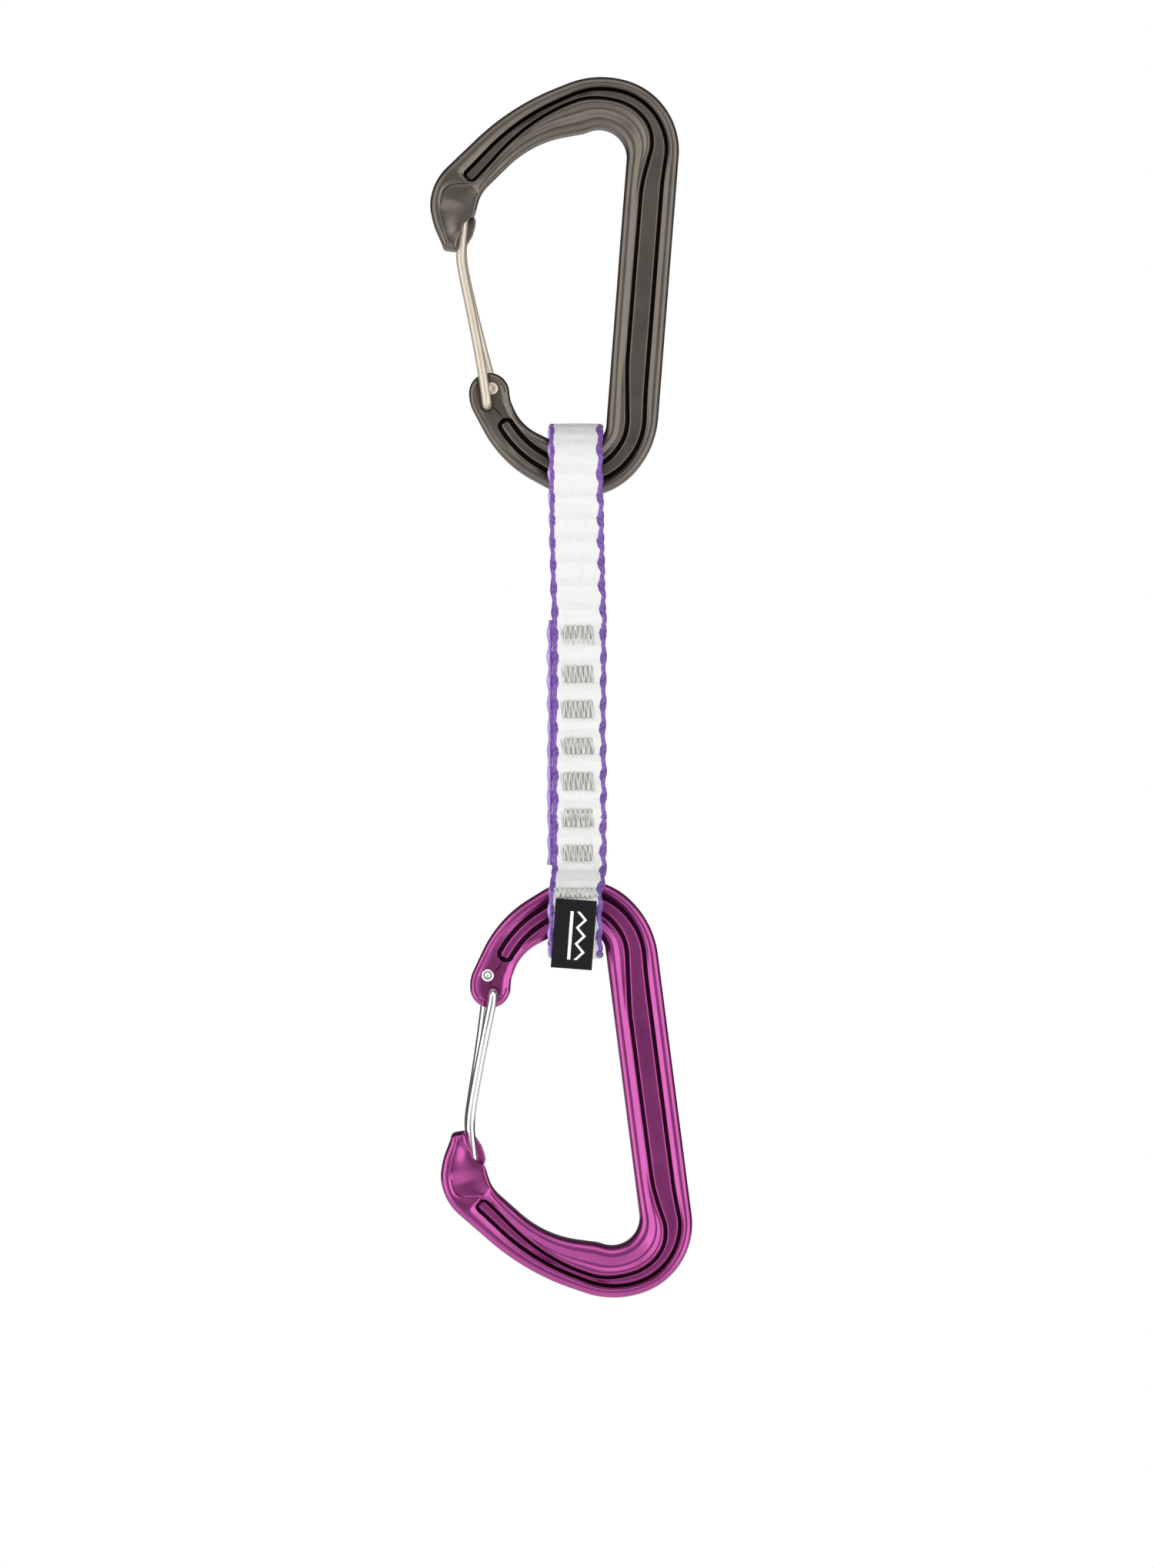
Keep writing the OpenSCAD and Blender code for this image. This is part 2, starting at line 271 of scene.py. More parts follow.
def show(name, mesh, body, *nodes, finish, sharp=40):
    """An object of that mesh, which rides on the body and stands for the CAD nodes. A piece without
    a body is left unattached."""
    piece = linked(name, mesh)
    mesh.shade_smooth()
    mesh.set_sharp_from_angle(angle=math.radians(sharp))
    mesh.materials.append(finish)
    if body:
        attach(piece, body)
    if nodes:
        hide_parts(*nodes)
    return piece


def cut(mesh, *cutters):
    """The mesh less the closed cutter meshes."""
    whole = linked("whole", mesh)
    tools = [linked(f"cutter_{k}", cutter) for k, cutter in enumerate(cutters)]
    for tool in tools:
        step = whole.modifiers.new(tool.name, "BOOLEAN")
        step.operation, step.solver, step.object = "DIFFERENCE", "MANIFOLD", tool
    evaluated = whole.evaluated_get(bpy.context.evaluated_depsgraph_get())
    made = bpy.data.meshes.new_from_object(evaluated)
    for thing in [whole, *tools]:
        bpy.data.objects.remove(thing)
    return made


def pin_shape(x, z, radius, y0, y1, slot_to=None):
    """A closed round bar along Y, or a slot from (x, z) to the point slot_to."""
    bm = bmesh.new()
    bmesh.ops.create_cone(bm, cap_ends=True, segments=32, radius1=radius * mm,
                          radius2=radius * mm, depth=(y1 - y0) * mm)
    bmesh.ops.rotate(bm, verts=bm.verts, matrix=Matrix.Rotation(math.pi / 2, 3, "X"))
    if slot_to:
        way = Vector((slot_to[0] - x, 0, slot_to[1] - z))
        for v in bm.verts:
            if v.co.dot(way) > 1e-9:
                v.co += way * mm
    bmesh.ops.translate(bm, verts=bm.verts, vec=Vector((x, (y0 + y1) / 2, z)) * mm)
    bmesh.ops.recalc_face_normals(bm, faces=bm.faces)
    return finished(bm, "pin")


def square_sections(outer, inner, spacing=0.55, ease=2.2, free=6):
    """Pairs of points on the two edges, straight across the bar, with the ends kept."""
    outer, inner = np.array(outer), np.array(inner)
    middle = (outer + inner) / 2
    run = np.concatenate([[0], np.cumsum(np.linalg.norm(np.diff(middle, axis=0), axis=1))])
    at = np.concatenate([np.arange(0, 24, spacing / 2), np.arange(24, run[-1] - spacing, spacing),
                         [run[-1]]])
    middle = np.array([np.interp(at, run, middle[:, k]) for k in (0, 1)]).T
    chord = np.array([np.interp(at, run, (inner - outer)[:, k]) for k in (0, 1)]).T
    weights = np.exp(-((at[:, None] - at[None, :]) / ease) ** 2) * np.gradient(at)
    eased = weights @ middle / weights.sum(1)[:, None]
    way = np.gradient(eased, axis=0)
    across = np.array([way[:, 1], -way[:, 0]]).T
    across *= np.sign((across * chord).sum(1))[:, None]
    hold = np.array([smooth(min(d, run[-1] - d) / free) for d in at])[:, None]
    unit = across / np.linalg.norm(across, axis=1)[:, None] * hold
    unit += chord / np.linalg.norm(chord, axis=1)[:, None] * (1 - hold)

    def met(point, way, line):
        """Where the line from the point first meets the edge."""
        side = line[1:] - line[:-1]
        gap = line[:-1] - point
        turn = way[0] * side[:, 1] - way[1] * side[:, 0]
        turn = np.where(abs(turn) < 1e-9, 1e-9, turn)
        far = (gap[:, 0] * side[:, 1] - gap[:, 1] * side[:, 0]) / turn
        part = (gap[:, 0] * way[1] - gap[:, 1] * way[0]) / turn
        hits = far[(part > -1e-6) & (part < 1 + 1e-6) & (far > 0)]
        return Vector(point + way * hits.min())

    pairs = [(met(m, -u, outer), met(m, u, inner)) for m, u in zip(middle[1:-1], unit[1:-1])]
    return ([Vector(outer[0]), *(a for a, _ in pairs), Vector(outer[-1])],
            [Vector(inner[0]), *(b for _, b in pairs), Vector(inner[-1])])


outer_edge, inner_edge = square_sections(rounded_line(outer_corners), rounded_line(inner_corners))
lengths = [0]
for a, b in zip(outer_edge, outer_edge[1:]):
    lengths.append(lengths[-1] + (b - a).length)
for k in range(1, lug_steps):
    angle = math.pi / 2 * k / lug_steps
    across, up = lug_radius * math.cos(angle), lug_radius * math.sin(angle)
    outer_edge.append(lug_centre + Vector((-across, up)))
    inner_edge.append(lug_centre + Vector((across, up)))
    lengths.append(lengths[-1] + lug_radius * math.pi / 2 / lug_steps)

# The gate's two pin holes, the seats of its peened ends and the slots that its legs lie in
long_pivot, short_pivot = (-26.05, -61.8), (-25, -58)
pin_hole, peen_seat, peen_y, slot_floor, clear = 1.15, 1.62, 2.62, 1.9, 6


def carabiner_rings():
    """The section's points at each station, as (x, y, z) in mm, front face first."""
    rings = []
    for outer_point, inner_point, s in zip(outer_edge, inner_edge, lengths):
        width = (inner_point - outer_point).length
        ring = []
        for x, y in face_section(s, width):
            p = outer_point.lerp(inner_point, x / width)
            lug = smooth((s - channel_stop - 0.3) / 1.2)
            if lug > 0:
                inside = min(x, width - x)
                if p.y > lug_centre.y:
                    inside = lug_radius - (p - lug_centre).length
                inside = max(0, inside)
                h = along(half_thickness, s)
                round_over = min(1, inside / lug_rim)
                edge_y = h - lug_rim * (1 - math.sqrt(max(0, 1 - (1 - round_over) ** 2)))
                flat_y = edge_y - lug_sunk * smooth((inside - lug_rim) / 0.5)
                if y > 1e-6:
                    if inside < 1e-4:
                        flat_y = min(y, h - lug_rim)
                    y = y + (flat_y - y) * lug
            ring.append((p.x, y, p.y))
        rings.append([(x, -y, z) for x, y, z in ring]
                     + [(x, y, z) for x, y, z in reversed(ring[1:-1])])
    first = rings[0]
    tip = Vector(rings[0][0]).lerp(Vector(rings[0][len(rings[0]) // 2]), 0.5)
    way = (tip - Vector(rings[3][0]).lerp(Vector(rings[3][len(rings[3]) // 2]), 0.5)).normalized()
    for angle in (0.3, 0.6, 0.9, 1.15, 1.4):
        shrunk = 1 - 0.5 * (1 - math.cos(angle))
        rings.insert(0, [tuple(tip + (Vector(p) - tip) * shrunk + way * 1.15 * math.sin(angle))
                         for p in first])
    return rings


def carabiner_mesh(name):
    rings = carabiner_rings()
    count = len(rings[0])
    stations = [0] * (len(rings) - len(lengths)) + lengths
    # How deep in shade each column lies, from the channel's edge to the middle of its bar
    channel_column, shades = 14, (-1, 0.45, 0.95, 1, 1, 0.95, 0.45, -0.4, -0.5, 0, 0)

    def mapped(row, column):
        """The map's first number is 1 down in the grooves, where shade is painted, and below 0
        along their edges, where a highlight is painted.
        """
        column = column % count
        inward = min(column, count - column) - channel_column
        inward = min(inward, 2 * (len(shades) - 1) - inward)
        t = min(stations[row] - channel_start, channel_stop - stations[row])
        return ((shades[inward] if inward >= 0 else 0) * smooth(t / 0.45), stations[row])

    body = surface(name, len(rings) - 1, count, lambda row, column: rings[row][column % count],
                   uv=mapped)
    cutters = [pin_shape(*pivot, pin_hole, -clear, clear) for pivot in (long_pivot, short_pivot)]
    cutters += [
        pin_shape(*long_pivot, 1.55, -clear, -slot_floor, slot_to=(-28.25, -46.8)),
        pin_shape(*short_pivot, peen_seat, -clear, -peen_y),
        pin_shape(*long_pivot, peen_seat, peen_y, clear),
        pin_shape(*short_pivot, 1.45, slot_floor, clear, slot_to=(-26.9, -51.5)),
    ]
    return cut(body, *cutters)


def beak_mesh(name):
    """The hook in the middle of the nose, which the wire's loop drops over."""
    outline = [(-34.8, -26), (-31.6, -26.8), (-30.8, -26.3), (-29.35, -23.9), (-28.75, -21.9),
               (-28.6, -20.6), (-28.85, -19.75), (-29.5, -19.6), (-30.1, -20.3), (-30.9, -21.4),
               (-32.4, -22.4), (-34.2, -24.4)]
    bm = bmesh.new()
    face = bm.faces.new([bm.verts.new(Vector((x, -0.8, z)) * mm) for x, z in outline])
    made = bmesh.ops.extrude_face_region(bm, geom=[face])
    moved = [g for g in made["geom"] if isinstance(g, bmesh.types.BMVert)]
    bmesh.ops.translate(bm, verts=moved, vec=Vector((0, 1.6, 0)) * mm)
    rims = [e for e in bm.edges if len(e.link_faces) == 2 and e.calc_face_angle(0) > 0.9]
    bmesh.ops.bevel(bm, geom=rims, offset=0.3 * mm, offset_type="OFFSET", segments=3, profile=0.5,
                    affect="EDGES", material=-1)
    bmesh.ops.recalc_face_normals(bm, faces=bm.faces)
    return finished(bm, name)


def joined(name, *meshes):
    bm = bmesh.new()
    for mesh in meshes:
        bm.from_mesh(mesh)
    return finished(bm, name)


class Value:
    """A socket's value in a material, which Python's operators work on."""

    def __init__(self, finish, socket):
        self.finish, self.socket = finish, socket

    def worked(self, operation, *others):
        node = self.finish.add("ShaderNodeMath", {"operation": operation},
                               dict(enumerate([self, *others])))
        return Value(self.finish, node.outputs[0])

    def __add__(self, other): return self.worked("ADD", other)
    def __mul__(self, other): return self.worked("MULTIPLY", other)
    def __sub__(self, other): return self.worked("SUBTRACT", other)
    def __truediv__(self, other): return self.worked("DIVIDE", other)
    def __gt__(self, other): return self.worked("GREATER_THAN", other)
    def __neg__(self): return self.worked("MULTIPLY", -1)
    def __abs__(self): return self.worked("ABSOLUTE")
    def __mod__(self, other): return self.worked("FLOORED_MODULO", other)
    def __rsub__(self, other): return (-self).worked("ADD", other)
    __radd__, __rmul__ = __add__, __mul__

    def sine(self): return self.worked("SINE")
    def clamped(self): return self.worked("MAXIMUM", 0).worked("MINIMUM", 1)


class Finish:
    """A material in the making."""

    def __init__(self, name):
        self.material = bpy.data.materials.new(name)
        self.material.use_nodes = True
        self.tree = self.material.node_tree
        self.tree.nodes.clear()

    def add(self, kind, settings=None, sockets=None):
        """A node with its settings, then its sockets' values or links."""
        node = self.tree.nodes.new(kind)
        for key, value in (settings or {}).items():
            if key == "stops":
                ramp = node.color_ramp.elements
                while len(ramp) < len(value):
                    ramp.new(0.5)
                for stop, (place, colour) in zip(ramp, value):
                    stop.position, stop.color = place, (*colour, 1)
            else:
                setattr(node, key, value)
        for key, value in (sockets or {}).items():
            if isinstance(value, Value):
                self.tree.links.new(value.socket, node.inputs[key])
            else:
                node.inputs[key].default_value = value
        return node

    def value(self, kind, output, settings=None, sockets=None):
        return Value(self, self.add(kind, settings, sockets).outputs[output])

    def place(self): return self.value("ShaderNodeTexCoord", "Object")

    def part(self, vector, number):
        return Value(self, self.add("ShaderNodeSeparateXYZ", None, {0: vector}).outputs[number])

    def x(self, vector): return self.part(vector, 0)
    def y(self, vector): return self.part(vector, 1)
    def z(self, vector): return self.part(vector, 2)

    def own_map(self):
        """The two numbers of the piece's own map."""
        parts = self.add("ShaderNodeSeparateXYZ", None, {0: self.value("ShaderNodeTexCoord", "UV")})
        return Value(self, parts.outputs[0]), Value(self, parts.outputs[1])

    def scaled(self, vector, scale):
        return self.value("ShaderNodeMapping", "Vector", None, {"Vector": vector, "Scale": scale})

    def noise(self, vector, scale, detail=3, roughness=0.55):
        return self.value("ShaderNodeTexNoise", "Fac", None,
                          {"Vector": vector, "Scale": scale, "Detail": detail,
                           "Roughness": roughness})

    def colour(self, share, a, b):
        """Colour a where share is 0 and b where it is 1."""
        def full(c): return c if isinstance(c, Value) else (*c, 1)
        return self.value("ShaderNodeMix", 2, {"data_type": "RGBA"},
                          {0: share, 6: full(a), 7: full(b)})

    def bump(self, height, distance, strength):
        """Relief of the height, its distance in mm."""
        return self.value("ShaderNodeBump", "Normal", None,
                          {"Height": height, "Distance": distance * mm, "Strength": strength})

    def done(self, **sockets):
        names = {key.replace("_", " ").title().replace("Ior", "IOR"): v
                 for key, v in sockets.items()}
        shader = self.add("ShaderNodeBsdfPrincipled", None, names)
        output = self.add("ShaderNodeOutputMaterial")
        self.tree.links.new(shader.outputs[0], output.inputs[0])
        return self.material


def anodised(name, dark, light, roughness, coat):
    """Dyed oxide on forged aluminium: a little uneven in colour, with fine tumbling marks, and with
    shade painted into the grooves and a highlight along their edges.
    """
    finish = Finish(name)
    place = finish.place()
    cloudy, fine = finish.noise(place, 120), finish.noise(place, 2600, 4, 0.6)
    scratches = finish.noise(finish.scaled(place, (900, 900, 5200)), 1, 2)
    worn = ((cloudy - 0.5) * 1.3 + (fine - 0.5) * 0.5 + 0.5).clamped()
    rough = roughness + (cloudy - 0.5) * 0.12 + (scratches - 0.5) * 0.1
    groove, _ = finish.own_map()
    # Painted shade: the colour goes nearly black down in the grooves
    deep = finish.colour(groove.clamped(), finish.colour(worn, dark, light),
                         tuple(0.1 * c for c in dark))
    # Painted highlight: lighter than the light tone along the grooves' edges
    painted_shade_and_highlight = finish.colour((-groove).clamped() * 0.75, deep, tuple(2.2 * c for c in light))
    return finish.done(
        base_color=painted_shade_and_highlight, metallic=1.0, roughness=rough,
        coat_weight=coat, coat_roughness=0.12,
        normal=finish.bump(fine + scratches * 0.5, 0.012, 0.5))


grey_anodised = anodised("grey_anodised", (0.105, 0.091, 0.078), (0.14, 0.122, 0.106), 0.38, 0.0)
upper_body = joined("upper_frame_body", carabiner_mesh("upper_frame_sweep"),
                    beak_mesh("upper_beak"))
upper_frame = show("upper_frame_forged", upper_body, "upper_carabiner", "upper_frame",
                   finish=grey_anodised)


# ---- Upper gate ----
# One length of stainless spring wire bent into a long loop. Its long leg pivots in the lug,
# its short leg is held a little higher, and both ends are peened over. Matt, a warm pale grey.

wire_radius, leg_y, nose_y, split_z = 1.06, 4.4, 1.95, -19.2


def round_bar(name, path, radius, sides):
    """A round bar along the points of the path, in mm."""
    curve = bpy.data.curves.new(name, "CURVE")
    curve.dimensions = "3D"
    curve.bevel_depth, curve.bevel_resolution, curve.use_fill_caps = radius * mm, sides, True
    line = curve.splines.new("POLY")
    line.points.add(len(path) - 1)
    for point, p in zip(line.points, path):
        point.co = (*(Vector(p) * mm), 1)
    thing = linked(name, curve)
    mesh = bpy.data.meshes.new_from_object(
        thing.evaluated_get(bpy.context.evaluated_depsgraph_get()))
    bpy.data.objects.remove(thing)
    return mesh


def wire_mesh(name, points):
    """A round wire through the points, in mm, with its corners eased."""
    path = [Vector(p) for p in points]
    for _ in range(3):
        eased = [path[0]]
        for a, b in zip(path, path[1:]):
            eased += [a.lerp(b, 0.25), a.lerp(b, 0.75)]
        path = eased + [path[-1]]
    return round_bar(name, path, wire_radius, 5)


def peened_end(x, z, y, way):
    """The flattened end of a wire: a low dome with a dimple, facing way along Y."""
    bm = bmesh.new()
    bmesh.ops.create_circle(bm, segments=32, radius=1.36 * mm, cap_ends=True)
    top = bm.faces[:][0]
    for shrink, rise in ((0, 0.16), (0.14, 0.12), (0.3, 0.06), (0.42, -0.02), (0.2, -0.14)):
        if shrink:
            bmesh.ops.inset_region(bm, faces=[top], thickness=shrink * mm)
        else:
            made = bmesh.ops.extrude_face_region(bm, geom=[top])
            bm.faces.remove(top)
            top = [g for g in made["geom"] if isinstance(g, bmesh.types.BMFace)][0]
        bmesh.ops.translate(bm, verts=top.verts, vec=(0, 0, rise * mm))
    bmesh.ops.holes_fill(bm, edges=[e for e in bm.edges if e.is_boundary], sides=0)
    bmesh.ops.rotate(bm, verts=bm.verts, matrix=Matrix.Rotation(-way * math.pi / 2, 3, "X"))
    bmesh.ops.translate(bm, verts=bm.verts, vec=Vector((x, y, z)) * mm)
    bmesh.ops.recalc_face_normals(bm, faces=bm.faces)
    return finished(bm, "peened_end")


def long_leg(name):
    """The pivot's pin, the long leg, and the loop in the nose down to the split."""
    x, z = long_pivot
    points = [(x, 2.7, z), (x, -1, z), (x, -leg_y + 0.45, z), (x - 0.25, -leg_y + 0.1, z + 2.2),
              (-27.5, -leg_y, -52), (-29.4, -3.55, -42), (-31.4, -2.35, -32.6),
              (-32.05, -2.05, -28.6), (-31.6, -nose_y, -23.5), (-31.15, -nose_y, -18.25),
              (-31.15, nose_y, -18.25), (-31.2, nose_y, split_z)]
    return joined(name, wire_mesh(name + "_wire", points),
                  peened_end(x, z, peen_y, 1))


def short_leg(name):
    """The short leg, from the split to its pin in the lug."""
    x, z = short_pivot
    points = [(-31.2, nose_y, split_z), (-31.5, nose_y, -23.5), (-31.75, 2.05, -28.4),
              (-31.0, 2.35, -33), (-28.9, 3.55, -42), (-26.6, leg_y, -51),
              (x - 0.3, leg_y - 0.1, z + 2.2), (x, leg_y - 0.45, z), (x, 1, z), (x, -2.7, z)]
    return joined(name, wire_mesh(name + "_wire", points),
                  peened_end(x, z, -peen_y, -1))


def drawn_wire(name, dark, light, roughness, metallic):
    """Drawn steel wire with fine lines along it."""
    finish = Finish(name)
    place = finish.place()
    lines = finish.noise(finish.scaled(place, (6000, 6000, 260)), 1, 3, 0.6)
    cloudy = finish.noise(place, 300)
    return finish.done(
        base_color=finish.colour((lines * 0.6 + cloudy * 0.6 - 0.1).clamped(), dark, light),
        metallic=metallic, roughness=roughness + (lines - 0.5) * 0.1,
        normal=finish.bump(lines, 0.01, 0.4))


champagne_wire = drawn_wire("champagne_wire", (0.44, 0.38, 0.31), (0.6, 0.54, 0.46), 0.46, 0.7)
upper_long = show("upper_gate_long_leg", long_leg("upper_long"), "upper_wire", "upper_gate",
                  finish=champagne_wire)
upper_short = show("upper_gate_short_leg", short_leg("upper_short"), None, finish=champagne_wire)
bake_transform(upper_short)


# ---- Lower carabiner ----
# The same forging and gate, turned over so that its other face is at the front, hanging a
# little askew. Anodised purple, brighter and glossier, with a polished wire.

lower_place = (Matrix.Translation(Vector((3.2, 0, -249.3)) * mm)
               @ Matrix.Rotation(math.radians(-2.9), 4, "Y") @ Matrix.Rotation(math.pi, 4, "X"))


def turned_over(mesh):
    made = mesh.copy()
    made.transform(lower_place)
    made.materials.clear()
    return made


purple_anodised = anodised("purple_anodised", (0.27, 0.042, 0.185), (0.35, 0.062, 0.245), 0.3,
                           0.25)
bright_wire = drawn_wire("bright_wire", (0.62, 0.62, 0.6), (0.82, 0.82, 0.8), 0.14, 1)
lower_frame = show("lower_frame_forged", turned_over(upper_body), "lower_carabiner", "lower_frame",
                   finish=purple_anodised)
lower_long = show("lower_gate_long_leg", turned_over(upper_long.data), "lower_wire", "lower_gate",
                  finish=bright_wire)
lower_short = show("lower_gate_short_leg", turned_over(short_leg("lower_short")), None,
                   finish=bright_wire)
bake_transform(lower_short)


# ---- Sling's tape ----
# Woven webbing of bright white polyethylene, 12 mm wide, with violet nylon edges. One length
# is doubled into a loop at each end, with its tail laid between the two plies. The weave
# makes soft ribs, and the violet edge yarns stand out in waves.

tape_x, tape_half, tape_half_thick, ply_y = -6.3, 6.0, 0.86, 1.8
wave_pitch = 5.2
upper_ring_z, upper_ring_r, upper_slack, upper_merge_z = -75.1, 8.35, 0.2, -96.4
lower_ring_z, lower_ring_r, lower_slack, lower_merge_z = -174.4, 8.45, 1.6, -164.8
upper_seam_z, lower_seam_z, tail_top_z, tail_end_z = -112.9, -153.8, -109.6, -164.3
tack_heights = [-112.9, -121.6, -129.6, -137.8, -145.7, -153.8, -161.7]
tack_x, tack_half_width, tack_half_height = -5.95, 3.75, 2.4
# Added to the map's first number on a tape's back, which keeps the two faces apart
back_face = 40


def loop_line(seam_z, merge_z, ring_z, radius, slack):
    """The middle of the tape as (y, z): up or down the front ply, round the loop, and back."""
    toward = 1 if ring_z > merge_z else -1
    far = math.hypot(ply_y, merge_z - ring_z)
    touch = math.atan2(ply_y, abs(merge_z - ring_z)) + math.acos(radius / far)
    side = [(-ply_y, seam_z), (-ply_y, merge_z)]
    side.append((-radius * math.sin(touch), ring_z - toward * radius * math.cos(touch)))
    for k in range(1, 25):
        angle = touch + (math.pi - touch) * k / 24
        side.append((-radius * math.sin(angle), ring_z - toward * radius * math.cos(angle)
                     + toward * slack * smooth((angle - math.pi / 2 + 0.4) / 0.8)))
    return evenly(side + [(-y, z) for y, z in reversed(side[:-1])], 0.5, 1.6)


def evenly(line, spacing, ease=0):
    """Points at even spacing on the line, with its bends eased over a length."""
    line = np.array(line, float)
    run = np.concatenate([[0], np.cumsum(np.linalg.norm(np.diff(line, axis=0), axis=1))])
    at = np.linspace(0, run[-1], int(run[-1] / spacing) + 1)
    points = np.array([np.interp(at, run, line[:, k]) for k in range(line.shape[1])]).T
    if ease:
        room = np.minimum(ease, np.minimum(at, run[-1] - at) / 2 + 1e-3)
        weights = np.exp(-((at[:, None] - at[None, :]) / room[:, None]) ** 2)
        points = weights @ points / weights.sum(1)[:, None]
    return points


def tape_mesh(name, line, seed, shift=0.0, start=0.0, outward=1, quilt=True):
    """Tape along the line of (y, z), as a closed band with thick wavy edges. The map's first
    number is mm across from the middle, its second mm along."""
    line = np.array(line)
    way = np.gradient(line, axis=0)
    way /= np.linalg.norm(way, axis=1)[:, None]
    out = np.array([-way[:, 1], way[:, 0]]).T * outward
    run = np.concatenate([[0], np.cumsum(np.linalg.norm(np.diff(line, axis=0), axis=1))]) + start
    across = [-1, -0.992, -0.965, -0.925, -0.88, -0.835, -0.8, -0.76, -0.7, -0.6, -0.5, -0.4, -0.3,
              -0.2, -0.1, 0]
    across += [-a for a in reversed(across[:-1])]
    ring = [(a, 1) for a in across] + [(a, -1) for a in reversed(across[1:-1])]
    drift = random.Random(seed)
    phases = [drift.uniform(0, 6.28) for _ in range(4)]

    def place(row, column):
        a, side = ring[column % len(ring)]
        v = run[row]
        wave = math.sin(2 * math.pi * v / wave_pitch)
        wander = 0.12 * math.sin(v / 4.1 + phases[0]) + 0.07 * math.sin(v / 1.9 + phases[1])
        ripple = math.sin(2 * math.pi * v / wave_pitch + 2.2 + phases[2] * 0.2 * a)
        half = tape_half + 0.19 * ripple + 0.05 * math.sin(v / 0.9 + phases[2])
        rim = abs(a)
        puff = 0.1 * math.cos(2 * math.pi * v / (wave_pitch / 2)) * (1 - rim)
        thick = tape_half_thick * (1 - puff)
        if rim > 0.8:
            cord = (rim - 0.8) / 0.2
            thick = (tape_half_thick * (1.04 + 0.14 * wave)
                     * math.sqrt(max(0, 1 - cord ** 3.2))
                     - 0.1 * math.exp(-((rim - 0.8) / 0.03) ** 2))
        lift = 0
        z = line[row][1]
        if quilt:
            for centre in tack_heights:
                near = abs(z - centre) / tack_half_height
                wide = abs(a * tape_half + tape_x - tack_x) / tack_half_width
                if near < 1.7 and wide < 1.15:
                    inside = smooth((1.15 - wide) / 0.2)
                    pinch = smooth((1.12 - near) / 0.3)
                    stitch = math.sin(2 * math.pi * (a * tape_half) / 1.05)
                    lift += inside * (-0.28 * pinch
                                      + 0.13 * stitch * smooth((1.65 - near) / 0.5) * (1 - pinch)
                                      + 0.1 * (1 - pinch) * smooth((1.7 - near) / 0.5))
        depth = side * (thick + lift) + 0.05 * math.sin(v / 3.1 + phases[3])
        sway = 0.75 * smooth((-80 - z) / 35) - 0.8 * smooth((-164 - z) / 8)
        y, z = line[row] + out[row] * depth
        return (tape_x + shift + sway + wander * 0.5 + a * half, y, z)

    def mapped(row, column):
        a, side = ring[column % len(ring)]
        return (a * tape_half + (back_face if side < 0 else 0), run[row])

    return surface(name, len(line) - 1, len(ring), place, uv=mapped)


def webbing(name):
    """White warp with fine ribs, and violet edges with a scalloped border, with a lilac highlight
    painted along the far left edge.
    """
    finish = Finish(name)
    u, v = finish.own_map()
    u = u - (u > back_face / 2) * back_face
    away = abs(u)
    place = finish.place()
    cloudy = finish.noise(place, 350, 3)
    fuzz = finish.noise(place, 2400, 3, 0.7)
    wave = abs(((v + (fuzz - 0.5) * 0.5) % wave_pitch) / wave_pitch - 0.5) * 2
    bump = ((wave - 0.38) * 2.6).clamped()
    border = 4.95 - bump * 0.5 + (fuzz - 0.5) * 0.15
    violet = ((away - border) * 9).clamped()
    yarns = (u * (2 * math.pi / 0.46)).sine()
    picks = (v * (2 * math.pi / 0.62)).sine()
    weave = yarns * 0.55 + picks * 0.25 + (yarns * picks) * 0.3
    rows = ((v * (2 * math.pi / wave_pitch)).sine() * 1.6).clamped()
    dashes = ((yarns * 0.5 + 0.5) * rows * (fuzz * 1.6 - 0.3)).clamped()
    white = finish.colour((dashes * 0.55 + (cloudy - 0.5) * 0.25).clamped(),
                          (0.6, 0.6, 0.59), (0.36, 0.36, 0.36))
    twist = ((v * (2 * math.pi / 1.35) + u * 3.2).sine() * 0.5 + 0.5) * 0.7 + (fuzz - 0.5) * 0.8
    dye = finish.colour((twist * 0.6 + bump * 0.35 + (cloudy - 0.5) * 0.7).clamped(),
                        (0.17, 0.068, 0.36), (0.045, 0.008, 0.13))
    # A lilac highlight painted along the tape's far left edge, patchy with the clouds and the
    # scallops
    left_edge_highlight = ((-11.85 - finish.x(place) * 1000) * 2.5).clamped() * (cloudy * 1.1 + bump * 0.3)
    dye = finish.colour(left_edge_highlight.clamped(), dye, (0.5, 0.32, 0.8))
    height = weave * (1 - violet) + violet * twist * 1.3 + fuzz * 0.5
    return finish.done(
        base_color=finish.colour(violet, white, dye), roughness=0.62 - violet * 0.18,
        normal=finish.bump(height, 0.09, 0.55), sheen_weight=0.25, sheen_roughness=0.4)


tape = webbing("tape")
upper_line = loop_line(upper_seam_z, upper_merge_z, upper_ring_z, upper_ring_r, upper_slack)
lower_line = loop_line(lower_seam_z, lower_merge_z, lower_ring_z, lower_ring_r, lower_slack)
bend_from, bend_to = Vector((0, 0, -97)) * mm, Vector((0, 0, -109)) * mm
twist_from, twist_to = Vector((0, 0, -154)) * mm, Vector((0, 0, -166)) * mm


def straight(y, top, bottom):
    return evenly([(y, top), (y, bottom)], 0.5)


def sling_piece(name, mesh, node, *bodies, start=None, end=None):
    piece = show(name, mesh, None if start else bodies[0], node, finish=tape, sharp=60)
    if start:
        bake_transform(piece)
    return piece


